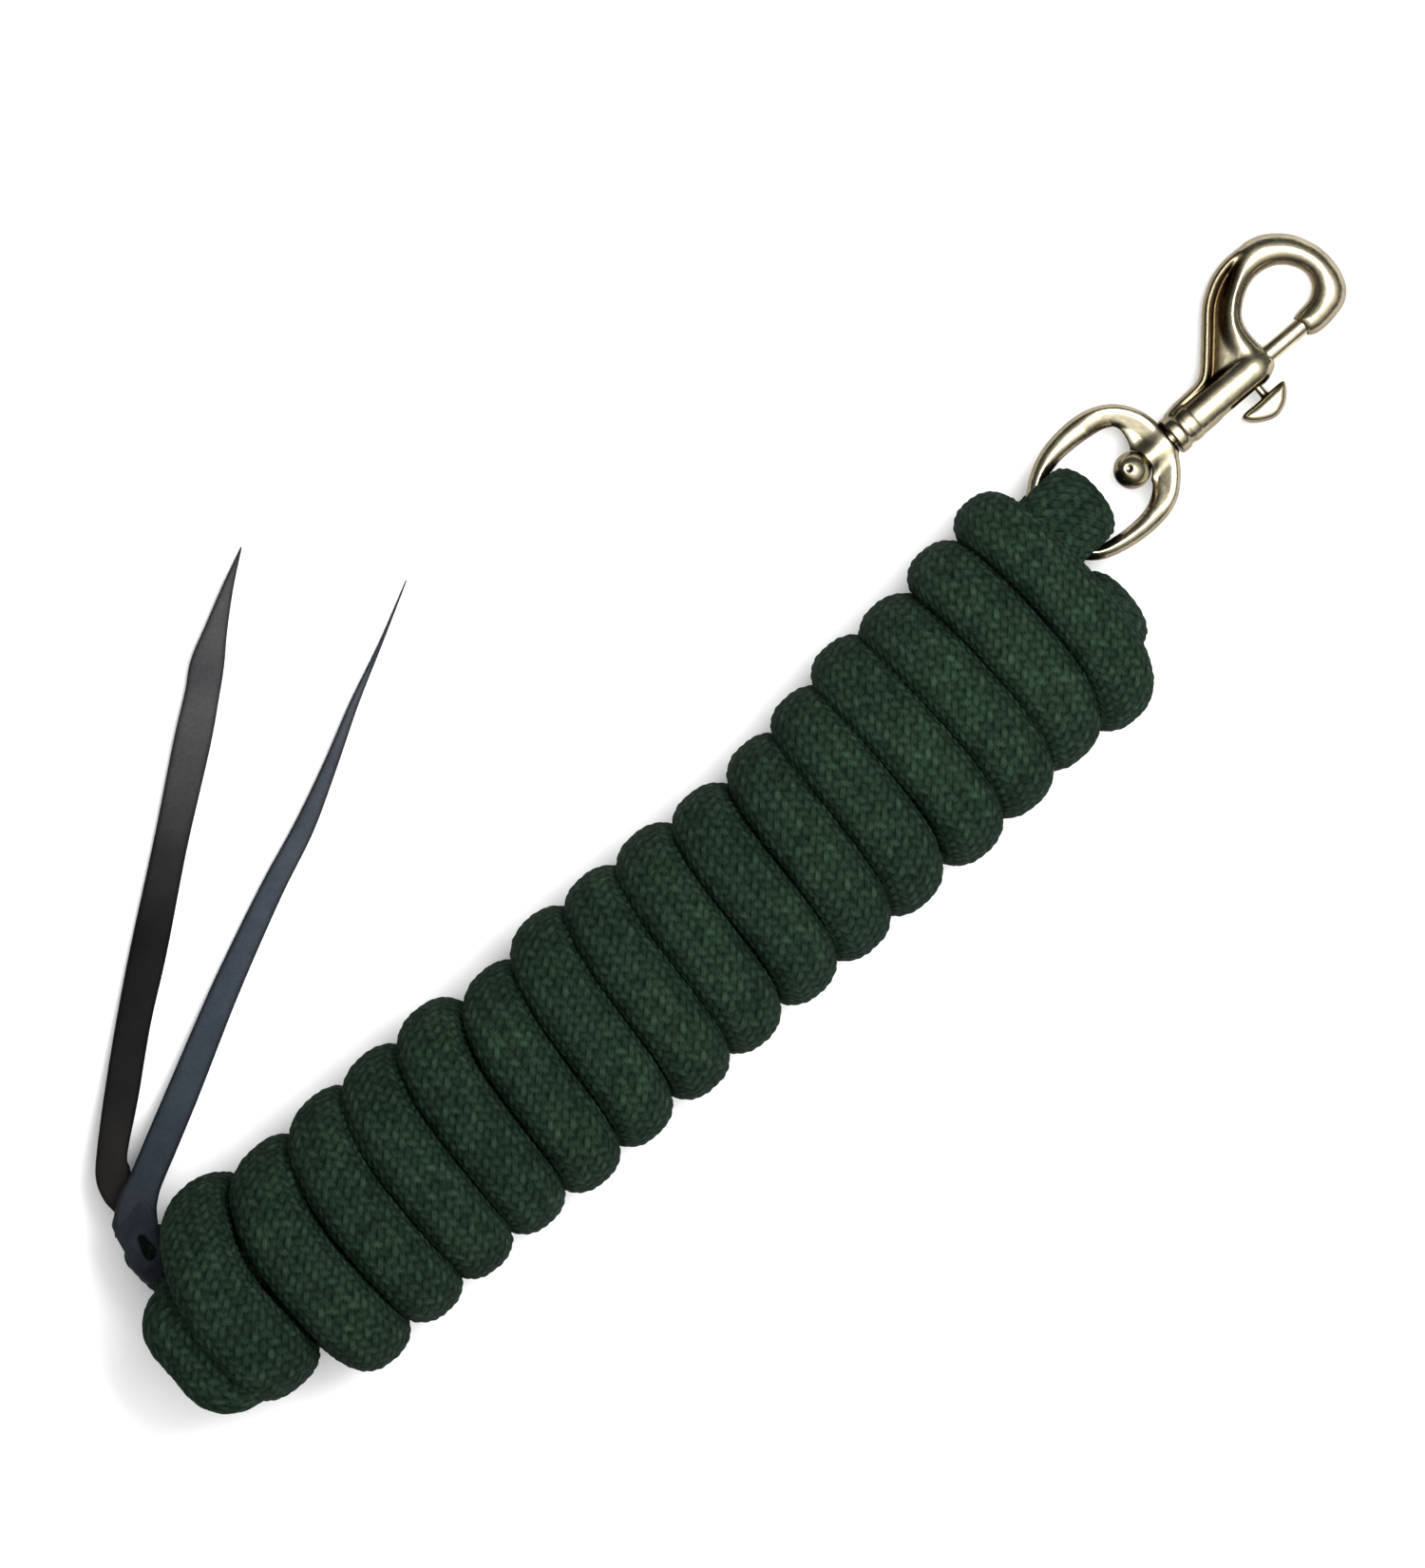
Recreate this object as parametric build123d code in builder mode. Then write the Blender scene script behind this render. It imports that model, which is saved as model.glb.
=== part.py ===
"""Lead rope with a swivel bolt snap, wound into a hank.

A 19 mm braided rope is wound round its own doubled core into a tight hank that
lies along X. At the +X end the rope's eye holds a swivel bolt snap, and at the
-X end a leather popper with two tails is laced through the rope's tail.
Units are millimetres, +Z is up, and the hank lies on the plane z = 0.
The origin is the bottom centre of the whole object's bounding box.
"""
from build123d import *
from math import cos, hypot, pi, radians, sin
import os

# ---------------------------------------------------------------- frame
HANK_X = -29.0          # the middle of the hank's length
HANK_Y = -65.65         # the line between the hank's two core strands

# ---------------------------------------------------------------- rope
ROPE_D = 19.0           # nominal diameter of the rope
HANK_HEIGHT = 56.0      # wrap, core and wrap, pressed together
HANK_FRONT = 136.0      # from the middle of the hank to its front end
EYE_WIDTH = 20.0        # the rope flattens where it turns round the swivel ring
EYE_THICK = 15.0
EYE_SHIFT = 2.4         # the eye sits this far to the left of the snap's axis
BULGE_LENGTH = 17.0     # the strand that comes out beside the eye, across the hank
BULGE_Y = -3.0
BULGE_Z = 30.0

# ---------------------------------------------------------------- swivel ring
RING_WIRE = 5.6
RING_INNER = 25.4       # clear width of the swivel eye
RING_LENGTH = 42.7      # from the lower bar's centre to the boss's outer face
RING_BOSS = 10.0        # length of the boss that the swivel pin turns in
RING_LEAN = 3.4         # the ring leans this much on its loose pin, in degrees
RING_SHIFT = 1.2        # and it sits this far to the left on it
BOSS_R = 4.9
CHEEK_HALF = 10.5       # the cheek that carries the boss, across the ring
CHEEK_CROWN = 1.6

# ---------------------------------------------------------------- bolt snap
SNAP_TILT = 7.4         # the snap slopes down from the rope's eye to the ground
PIN_R = 2.7
PIN_HOLE_R = 2.77
PIN_DEPTH = 6.0         # the pin's fixed end, inside the snap's body
HEAD_R = 5.0
HEAD_NECK = 2.8
FLANGE_R = 5.3
FLANGE_EDGE = 0.6
NECK_R = 4.4            # between the flange and the barrel
BARREL_R = 5.5
MOUTH_CHAMFER = 1.4
BOLT_R = 2.65
BORE_R = 2.72
TRAVEL = 12.4           # how far the thumb knob draws the bolt back
HOOK_THICK = 8.6
STEM_R = 1.5
STEM_LENGTH = 11.0
SLOT_WIDTH = 3.4
KNOB_WIDE = 8.0
KNOB_EDGE = 0.6
SPRING_WIRE = 0.5
SPRING_TURNS = 7
SPRING_GAP = 0.1        # free space at each end of the spring

# places along the snap, from the centre of the ring's lower bar
HEAD_X = 24.0
BOSS_X = RING_LENGTH - RING_BOSS
FLANGE_X = RING_LENGTH + 0.3
BARREL_X = 48.0
BORE_END_X = 52.0
BOLT_X = 68.6
STEM_X = 70.8
MOUTH_X = 79.1
TIP_X = 91.0
BOLT_FRONT_X = 92.0

# ---------------------------------------------------------------- leather popper
LEATHER_THICK = 3.0
KNOT_LONG, KNOT_WIDE, KNOT_TALL, KNOT_CORNER = 16.0, 14.0, 14.0, 5.0
LEFT_DROP = 45.0        # the left tail comes down to the ground over this length
RIGHT_DROP = 40.0

# ---------------------------------------------------------------- derived
EYE_GAP = 0.4
EYE_R = RING_WIRE / 2 + EYE_GAP + EYE_THICK / 2
BAR_X = HANK_X + 140.4
SNAP_Y = HANK_Y + 21.0
BAR_Z = EYE_R + EYE_THICK / 2
AXIS = Vector(cos(radians(SNAP_TILT)), 0, -sin(radians(SNAP_TILT)))
UP = Vector(sin(radians(SNAP_TILT)), 0, cos(radians(SNAP_TILT)))
BAR = Vector(BAR_X, SNAP_Y, BAR_Z)


def snap_flat(along=0, height=0):
    """A plane in the snap's own flat, its x along the snap and its y to the left."""
    return Plane(origin=BAR + AXIS * along + UP * height, x_dir=AXIS, z_dir=UP)


def snap_cross(along):
    """A plane square to the snap's axis, at a distance along it."""
    return Plane(origin=BAR + AXIS * along, x_dir=Vector(0, 1, 0), z_dir=AXIS)


def snap_side(along):
    """A plane that looks along -Y, so an extrusion from it runs to the snap's right."""
    return Plane(origin=BAR + AXIS * along, x_dir=AXIS, z_dir=Vector(0, -1, 0))


os.makedirs("parts", exist_ok=True)


def save(piece, name):
    """Label a finished piece and write it as its own STEP file."""
    piece.part.label = name
    export_step(piece.part, f"parts/{name}.step")


# ================================================================ rope
# The hank is a closed solid of its outer shape: rounded sections along X, each
# given by its place, its right and left sides, and the height that it spans.
HANK_SECTIONS = [
    (-190.5, -6, 17, 18, 38, 8),
    (-184, -16, 26, 8, 47, 15),
    (-171, -20.5, 33, 1.5, 54, 20),
    (-158, -24, 38, 0, HANK_HEIGHT, 22),
    (-141, -31.5, 38, 0, HANK_HEIGHT, 24),
    (-60, -32.5, 35.5, 0, HANK_HEIGHT, 24),
    (30, -32.5, 35, 0, HANK_HEIGHT, 24),
    (78, -32, 39.5, 0, HANK_HEIGHT, 24),
    (122, -31.5, 45, 0, HANK_HEIGHT, 24),
    (HANK_FRONT, -26, 40, 0, 52, 20),
]
with BuildPart() as rope_hank:
    for place, right, left, low, high, corner in HANK_SECTIONS:
        middle = Vector(HANK_X + place, HANK_Y + (right + left) / 2, (low + high) / 2)
        with BuildSketch(Plane(origin=middle, x_dir=(0, 1, 0), z_dir=(1, 0, 0))):
            RectangleRounded(left - right, high - low, corner)
    loft(ruled=True)
    # the core strand comes out beside the eye here and begins the first wrap
    bulge_x = HANK_X + HANK_FRONT + 0.5
    bulge_middle = (bulge_x, HANK_Y + BULGE_Y, BULGE_Z)
    with BuildSketch(Plane(origin=bulge_middle, x_dir=(1, 0, 0), z_dir=(0, -1, 0))):
        Circle(ROPE_D / 2)
    extrude(amount=BULGE_LENGTH)
    fillet(rope_hank.edges().filter_by(GeomType.CIRCLE)
           .group_by(Axis.X)[-1].sort_by(Axis.Y), ROPE_D / 4)
save(rope_hank, "rope_hank")

# the rope's eye: out of the hank, round the ring's lower bar and back in
EYE_Y = SNAP_Y + EYE_SHIFT
eye_top = BAR_Z + EYE_R + 0.1
eye_bottom = BAR_Z - EYE_R
eye_route = [
    (HANK_X + HANK_FRONT, EYE_Y, eye_top),
    (BAR_X + EYE_R, EYE_Y, eye_top),
    (BAR_X + EYE_R, EYE_Y, eye_bottom),
    (HANK_X + HANK_FRONT, EYE_Y, eye_bottom),
]
with BuildPart() as rope_eye:
    with BuildLine() as eye_line:
        FilletPolyline(*eye_route, radius=EYE_R)
    with BuildSketch(Plane(origin=eye_route[0], x_dir=(0, 1, 0), z_dir=(1, 0, 0))):
        Ellipse(EYE_WIDTH / 2, EYE_THICK / 2)
    sweep()
save(rope_eye, "rope_eye")
eye_section = pi * EYE_WIDTH * EYE_THICK / 4
eye_length = eye_line.wires()[0].length
print("rope eye: corner radii", EYE_R, EYE_R, "length", round(eye_length, 1))
print("rope eye: volume over section x length",
      round(rope_eye.part.volume / (eye_section * eye_length), 4))

# ================================================================ swivel ring
# The ring's centre line: a bar that curves round under the rope, two legs that
# spread a little, and a top that carries the boss.
half_width = (RING_INNER + RING_WIRE) / 2
ring_origin = Vector(BAR + AXIS * (RING_LENGTH - RING_BOSS / 2))
ring_x = AXIS * cos(radians(RING_LEAN)) + Vector(0, -sin(radians(RING_LEAN)), 0)
RING = Plane(origin=ring_origin + Vector(0, RING_SHIFT, 0), x_dir=ring_x, z_dir=UP)
top_x = RING_BOSS / 2 - RING_WIRE / 2
bar_x = -(RING_LENGTH - RING_BOSS / 2)
with BuildPart() as swivel_ring:
    with BuildLine(RING) as ring_line:
        bar_arc = ThreePointArc((bar_x + 6.2, half_width - 3.2), (bar_x, 0),
                                (bar_x + 6.2, -half_width + 3.2))
        right_leg = Spline(bar_arc @ 1, (bar_x + 20, -half_width), (top_x - 9.5, -half_width + 0.4),
                           tangents=(bar_arc % 1, RING.x_dir))
        top_curve = Spline(right_leg @ 1, (top_x, 0), (top_x - 9.5, half_width - 0.4),
                           tangents=(RING.x_dir, RING.x_dir * -1))
        left_leg = Spline(top_curve @ 1, (bar_x + 20, half_width), bar_arc @ 0,
                          tangents=(RING.x_dir * -1, bar_arc % 0))
    with BuildSketch(Plane(origin=bar_arc @ 0, z_dir=bar_arc % 0)):
        Circle(RING_WIRE / 2)
    sweep()
    # the boss, a thick cheek across the top with the pin's hole through it
    with BuildSketch(snap_cross(BOSS_X)):
        Circle(BOSS_R)
    extrude(amount=RING_BOSS)
    with BuildSketch(RING.offset(-RING_WIRE / 2)):
        with BuildLine():
            chord = Line((-RING_BOSS / 2, CHEEK_HALF), (-RING_BOSS / 2, -CHEEK_HALF))
            ThreePointArc(chord @ 1, (top_x + CHEEK_CROWN, 0), chord @ 0)
        make_face()
    extrude(amount=RING_WIRE)
    with BuildSketch(snap_cross(BOSS_X - 1)):
        Circle(PIN_HOLE_R)
    extrude(amount=RING_BOSS + 6, mode=Mode.SUBTRACT)
save(swivel_ring, "swivel_ring")

# ================================================================ swivel pin
# A ball-headed pin: its head sits inside the ring, its shank turns in the boss
# and its end is pressed into the snap's body.
pin_end = FLANGE_X + PIN_DEPTH
head_face = BOSS_X - 0.3
with BuildPart() as swivel_pin:
    with BuildSketch(snap_flat()):
        with BuildLine():
            Polyline((HEAD_X, 0), (pin_end, 0), (pin_end, PIN_R), (head_face, PIN_R),
                     (head_face, HEAD_R - 0.9))
            Spline((head_face, HEAD_R - 0.9), (head_face - 3.6, HEAD_R),
                   (HEAD_X + 0.9, HEAD_NECK), (HEAD_X, 0), tangents=((-1, 0.8), (0, -1)))
        make_face()
    revolve(axis=Axis(origin=BAR, direction=AXIS))
save(swivel_pin, "swivel_pin")

# ================================================================ snap body
# One casting: a flange, a barrel with a rib, and the hook that rises from the
# barrel's left side and comes back round to meet the bolt.
# Each station of the hook is its middle, its heading in degrees and its width.
HOOK = [
    (65.5, 4.2, 49, 12.0),
    (71.4, 11.2, 49, 11.8),
    (76.8, 17.8, 44, 11.0),
    (82.3, 21.8, 22, 10.6),
    (88.4, 23.3, 3, 9.6),
    (95.0, 22.6, -18, 8.9),
    (100.4, 19.4, -43, 8.6),
    (103.9, 14.2, -68, 8.5),
    (104.6, 8.6, -95, 8.6),
    (102.8, 3.6, -127, 9.0),
    (99.0, 0.6, -155, 9.0),
    (95.0, -0.2, -178, 8.5),
    (TIP_X, -0.3, 180, 8.1),
]
# the rib's outline beside the barrel, and the recess between the hook's outer lip
# and its body, both seen from above
RIB = [(BARREL_X, 3), (BARREL_X, 5.6), (61.5, 7.6), (64, 10), (64, 3)]
RIB_THICK = 4.0
RECESS = [(62, 4.6), (65.5, 8.4), (69.5, 13), (74, 18.2), (78.5, 21.6), (74.8, 17.6), (71.6, 12.4),
          (69.2, 7.6), (67.4, 4.4), (64, 3.8)]
RECESS_FLOOR = 2.5      # half the web that is left between the two recesses


def hook_station(along, left, heading):
    """The plane square to the hook at a station, its x towards the snap's top."""
    turn = radians(heading)
    side = Vector(0, 1, 0)
    return Plane(origin=BAR + AXIS * along + side * left, x_dir=UP,
                 z_dir=AXIS * cos(turn) + side * sin(turn))


with BuildPart() as snap_body:
    with BuildSketch(snap_flat()):
        with BuildLine():
            Polyline((FLANGE_X, 0), (FLANGE_X, FLANGE_R - FLANGE_EDGE),
                     (FLANGE_X + FLANGE_EDGE, FLANGE_R), (FLANGE_X + 2.6, FLANGE_R),
                     (FLANGE_X + 4, NECK_R), (BARREL_X + 1.5, BARREL_R),
                     (MOUTH_X - MOUTH_CHAMFER, BARREL_R), (MOUTH_X, BARREL_R - MOUTH_CHAMFER),
                     (MOUTH_X, 0), close=True)
        make_face()
    revolve(axis=Axis(origin=BAR, direction=AXIS))
    for along, left, heading, width in HOOK:
        with BuildSketch(hook_station(along, left, heading)):
            Ellipse(HOOK_THICK / 2, width / 2)
    loft()
    # the rib that stiffens the barrel between its flange and the hook
    with BuildSketch(snap_flat(height=-RIB_THICK / 2)):
        with BuildLine():
            Polyline(*RIB, close=True)
        make_face()
    extrude(amount=RIB_THICK)
    # the recesses in the hook's upper and lower faces
    for height, depth in ((RECESS_FLOOR, HOOK_THICK), (-RECESS_FLOOR, -HOOK_THICK)):
        with BuildSketch(snap_flat(height=height)):
            with BuildLine():
                Polyline(*RECESS, close=True)
            make_face()
        extrude(amount=depth, mode=Mode.SUBTRACT)
    # the pin's hole, the bolt's bore, the knob's slot and the bolt's seat
    with BuildSketch(snap_cross(FLANGE_X)):
        Circle(PIN_R)
    extrude(amount=PIN_DEPTH, mode=Mode.SUBTRACT)
    with BuildSketch(snap_cross(BORE_END_X)):
        Circle(BORE_R)
    extrude(amount=TIP_X - BORE_END_X - 0.5, mode=Mode.SUBTRACT)
    with BuildSketch(snap_cross(TIP_X - 1)):
        Circle(BORE_R)
    extrude(amount=2.6, mode=Mode.SUBTRACT)
    slot_middle = STEM_X - TRAVEL / 2
    with BuildSketch(snap_side(slot_middle)):
        SlotCenterToCenter(TRAVEL, SLOT_WIDTH)
    extrude(amount=BARREL_R + 1, mode=Mode.SUBTRACT)
save(snap_body, "snap_body")

# ================================================================ bolt
with BuildPart() as snap_bolt:
    with BuildSketch(snap_cross(BOLT_X)):
        Circle(BOLT_R)
    extrude(amount=BOLT_FRONT_X - BOLT_X)
    chamfer(snap_bolt.edges().sort_by(Axis.X)[-1], 0.5)
    # the blind hole that the knob's stem is riveted into
    with BuildSketch(snap_side(STEM_X)):
        Circle(STEM_R)
    extrude(amount=BOLT_R + 1, mode=Mode.SUBTRACT)
save(snap_bolt, "snap_bolt")

# ================================================================ thumb knob
with BuildPart() as thumb_knob:
    with BuildSketch(snap_flat(height=-KNOB_WIDE / 2)):
        with BuildLine():
            outer = ThreePointArc((61.4, -9.8), (69.2, -14), (77, -9))
            toe = Line(outer @ 1, (75.8, -7.9))
            inner = ThreePointArc(toe @ 1, (69.4, -9.9), (62, -8.4))
            Line(inner @ 1, outer @ 0)
        make_face()
    tab = extrude(amount=KNOB_WIDE)
    fillet(tab.edges().filter_by(lambda edge: edge.length > 13.5), KNOB_EDGE)
    with BuildSketch(snap_side(STEM_X)):
        Circle(STEM_R)
    extrude(amount=STEM_LENGTH)
save(thumb_knob, "thumb_knob")

# ================================================================ bolt spring
spring_start = BORE_END_X + SPRING_WIRE / 2 + SPRING_GAP
spring_length = BOLT_X - BORE_END_X - SPRING_WIRE - 2 * SPRING_GAP
with BuildPart() as bolt_spring:
    with BuildLine() as coil_line:
        coil = Helix(pitch=spring_length / SPRING_TURNS, height=spring_length,
                     radius=BORE_R - 0.25 - SPRING_WIRE / 2,
                     center=BAR + AXIS * spring_start, direction=AXIS)
    with BuildSketch(Plane(origin=coil @ 0, z_dir=coil % 0)):
        Circle(SPRING_WIRE / 2)
    sweep(is_frenet=True)
save(bolt_spring, "bolt_spring")

# ================================================================ leather popper
# One strap laced through the rope's tail. Each tail is the plan shape of the
# strap cut from a ribbon that comes down from the knot to the ground.
KNOT = Vector(HANK_X - 174, HANK_Y + 36, 17)


def ribbon(start, end, drop):
    """The space of a strap that falls from the knot's height and then lies flat."""
    run = hypot(end[0] - start[0], end[1] - start[1])
    along = Vector(end[0] - start[0], end[1] - start[1], 0).normalized()
    across = Vector(along.Y, -along.X, 0)
    side = Plane(origin=Vector(start[0], start[1], 0) - across * 30, x_dir=along, z_dir=across)
    thick = LEATHER_THICK
    with BuildPart() as space:
        with BuildSketch(side):
            with BuildLine():
                Polyline((-20, KNOT.Z), (0, KNOT.Z), (drop, 0), (run + 20, 0), (run + 20, thick),
                         (drop + 3, thick), (2, KNOT.Z + thick), (-20, KNOT.Z + thick), close=True)
            make_face()
        extrude(amount=60)
    return space.part


def strap(outline, start, end, drop):
    """A tail: its plan outline, given about the hank's middle, cut from its ribbon."""
    with BuildPart() as tail:
        with BuildSketch(Plane.XY):
            with BuildLine():
                Polyline(*[(HANK_X + x, HANK_Y + y) for x, y in outline], close=True)
            make_face()
        extrude(amount=40)
        add(ribbon(start, end, drop), mode=Mode.INTERSECT)
    return tail.part


TAIL_LEFT = [(-179, 40), (-174.6, 49.2), (-173, 57.8), (-155.8, 75.1), (-123.9, 99.9), (-78.9, 134.6),
             (-60.3, 149.1), (-29.5, 163.8), (-41.8, 153.1), (-64.2, 133.3), (-116.2, 93.3),
             (-148, 68.5), (-164, 54.8), (-168, 40)]
TAIL_RIGHT = [(-177, 38), (-172, 46), (-165.4, 52.6), (-139.6, 64.8), (-87.7, 88.7), (-52.8, 103.4),
              (-34.5, 111.6), (-1.2, 127.5), (-32.5, 110), (-48.9, 100), (-82.1, 84),
              (-133.7, 59.7), (-160.1, 48.1), (-164, 36)]
left_start = (HANK_X - 176, HANK_Y + 45)
left_end = (HANK_X - 29.5, HANK_Y + 163.8)
right_start = (HANK_X - 166, HANK_Y + 43)
right_end = (HANK_X - 1.2, HANK_Y + 127.6)
with BuildPart() as leather_popper:
    add(strap(TAIL_LEFT, left_start, left_end, LEFT_DROP))
    add(strap(TAIL_RIGHT, right_start, right_end, RIGHT_DROP))
    with BuildSketch(Plane(origin=KNOT - Vector(0, 0, KNOT_TALL / 2 - 2), z_dir=(0, 0, 1))):
        RectangleRounded(KNOT_LONG, KNOT_WIDE, KNOT_CORNER)
    extrude(amount=KNOT_TALL)
save(leather_popper, "leather_popper")

# ---------------------------------------------------------------- report
pieces = [rope_hank, rope_eye, swivel_ring, swivel_pin, snap_body, snap_bolt,
          thumb_knob, bolt_spring, leather_popper]
everything = Compound(children=[piece.part for piece in pieces])
box = everything.bounding_box()
print("box", box.min, box.max)
print("middle", (box.min.X + box.max.X) / 2, (box.min.Y + box.max.Y) / 2)
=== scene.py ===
"""Lead rope wound into a hank, with a brass swivel bolt snap and a leather popper.

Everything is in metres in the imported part's frame: +X runs along the hank towards
the snap, +Z is up and the hank lies on z = 0. Sizes named here are in millimetres
and are turned into metres by MM where they are used.
"""
from math import cos, pi, radians, sin

import bpy
import numpy as np
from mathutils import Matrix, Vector


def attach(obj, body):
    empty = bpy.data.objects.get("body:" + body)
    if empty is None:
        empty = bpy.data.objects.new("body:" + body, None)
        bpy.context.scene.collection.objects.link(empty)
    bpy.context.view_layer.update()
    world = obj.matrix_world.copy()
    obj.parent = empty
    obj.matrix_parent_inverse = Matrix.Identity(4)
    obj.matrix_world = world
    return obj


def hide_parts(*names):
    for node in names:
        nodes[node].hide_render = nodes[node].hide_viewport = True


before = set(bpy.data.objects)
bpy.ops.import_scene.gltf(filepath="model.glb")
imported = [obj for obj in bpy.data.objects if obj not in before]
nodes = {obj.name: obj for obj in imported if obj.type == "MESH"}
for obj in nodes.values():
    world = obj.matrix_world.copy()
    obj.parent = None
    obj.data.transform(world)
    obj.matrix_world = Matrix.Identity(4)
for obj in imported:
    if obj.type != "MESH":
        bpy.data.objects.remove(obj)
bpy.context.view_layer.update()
MM = 0.001

# ------------------------------------------------------------------ places
HANK_X = -29.0           # the middle of the hank's length
HANK_Y = -65.65          # the line between the hank's two core strands
ROPE_D = 19.0

# ================================================================== camera
# The camera looks straight down, and the hank lies across the picture at a slant.
VIEW_TURN = radians(-40.56)
VIEW_CENTRE = (-2.8, -35.0)
VIEW_HEIGHT_MM = 429.0   # what the picture's long side covers at the level below
VIEW_LEVEL_MM = 18.0     # a height within the hank
LENS = 300.0
SENSOR = 36.0
CLIP_END = 20.0          # metres
camera_data = bpy.data.cameras.new("camera")
camera_data.lens = LENS
camera_data.sensor_width = SENSOR
camera_data.clip_end = CLIP_END
camera = bpy.data.objects.new("camera", camera_data)
camera.location = Vector((*VIEW_CENTRE, VIEW_LEVEL_MM + VIEW_HEIGHT_MM * LENS / SENSOR)) * MM
camera.rotation_euler = (0, 0, VIEW_TURN)
bpy.context.scene.collection.objects.link(camera)
bpy.context.scene.camera = camera


# ================================================================== helpers
def add_object(name, data):
    """A new object in the scene that holds this mesh or curve."""
    made = bpy.data.objects.new(name, data)
    bpy.context.scene.collection.objects.link(made)
    return made


def mesh_of(name, points, faces):
    """A smooth-shaded mesh from an array of points in metres and an array of quads."""
    mesh = bpy.data.meshes.new(name)
    points = np.asarray(points, np.float32)
    faces = np.asarray(faces, np.int32)
    mesh.vertices.add(len(points))
    mesh.vertices.foreach_set("co", points.ravel())
    mesh.loops.add(faces.size)
    mesh.loops.foreach_set("vertex_index", faces.ravel())
    mesh.polygons.add(len(faces))
    mesh.polygons.foreach_set("loop_start", np.arange(0, faces.size, faces.shape[1], dtype=np.int32))
    mesh.update(calc_edges=True)
    mesh.validate()
    mesh.shade_smooth()
    return mesh


def keep(mesh, **values):
    """Named numbers kept on a mesh's points, for its material to read."""
    for name, value in values.items():
        attribute = mesh.attributes.new(name, "FLOAT", "POINT")
        attribute.data.foreach_set("value", np.asarray(value, np.float32).ravel())


def unit(v):
    """These vectors, each made one long."""
    return v / np.maximum(np.linalg.norm(v, axis=-1, keepdims=True), 1e-12)


def smooth_along(values, reach):
    """Rows averaged with their neighbours, by a bell-shaped weight of that reach."""
    weights = np.exp(-0.5 * (np.arange(-3 * reach, 3 * reach + 1) / reach) ** 2)
    padded = np.pad(values, ((3 * reach, 3 * reach), (0, 0)), mode="edge")
    return np.stack([np.convolve(padded[:, k], weights / weights.sum(), "valid")
                     for k in range(values.shape[1])], axis=1)


def through(points, closed=False, steps=5):
    """The points of a smooth curve through these, with steps to each gap (Catmull-Rom)."""
    p = np.array(points, float)
    if closed:
        p = np.vstack([p[-1:], p, p[:2]])
    else:
        p = np.vstack([2 * p[:1] - p[1:2], p, 2 * p[-1:] - p[-2:-1]])
    t = (np.arange(steps) / steps)[:, None]
    runs = [0.5 * (2 * b + (c - a) * t + (2 * a - 5 * b + 4 * c - d) * t ** 2
                   + (3 * b - 3 * c + d - a) * t ** 3)
            for a, b, c, d in zip(p, p[1:], p[2:], p[3:])]
    return np.vstack(runs if closed else [*runs, p[-2:-1]])


# ------------------------------------------------------------------ cast shapes
# A cast piece is a distance function of x, y and z, below zero inside it.
def to_line(x, y, points):
    """Distance in a plane to a run of points."""
    nearest = None
    for (ax, ay), (bx, by) in zip(points, points[1:]):
        dx, dy = bx - ax, by - ay
        t = np.clip(((x - ax) * dx + (y - ay) * dy) / (dx * dx + dy * dy), 0, 1)
        square = (x - ax - t * dx) ** 2 + (y - ay - t * dy) ** 2
        nearest = square if nearest is None else np.minimum(nearest, square)
    return np.sqrt(nearest)


def to_outline(x, y, points):
    """Distance in a plane to a closed outline, below zero inside it."""
    closed = np.vstack([points, points[:1]])
    inside = np.zeros(np.broadcast(x, y).shape, bool)
    for (ax, ay), (bx, by) in zip(closed, closed[1:]):
        if ay != by:
            inside ^= ((ay > y) != (by > y)) & (x < ax + (y - ay) * (bx - ax) / (by - ay))
    distance = to_line(x, y, closed)
    return np.where(inside, -distance, distance)


def slab(flat, z, half, edge):
    """A shape of that flat distance and half thickness, with its edges rounded."""
    a, b = flat + edge, np.abs(z) - half + edge
    return np.minimum(np.maximum(a, b), 0) + np.hypot(np.maximum(a, 0), np.maximum(b, 0)) - edge


def join(a, b, soft):
    """Two shapes as one, with a fillet of about that size where they meet."""
    share = np.clip(0.5 + 0.5 * (b - a) / soft, 0, 1)
    return b * (1 - share) + a * share - soft * share * (1 - share)


def cut(a, b, soft):
    """The first shape without the second, with its new edges softened."""
    return -join(-a, b, soft)


def meet(a, b, soft):
    """Only what is inside both shapes."""
    return -join(-a, -b, soft)


REACH = 4.0              # how far a point of a casting looks out for other metal
SLOPE_STEP = 0.05        # the step that a shape's slope is measured over
FACING_STEP = 0.1        # the longer step that smooths the way a point faces
LEAST_SLOPE = 0.2        # keeps a point near a flat spot of the distance from running off
MOST_MOVE = 0.3          # the most that a point moves in one go, as a share of the grid's step


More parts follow.
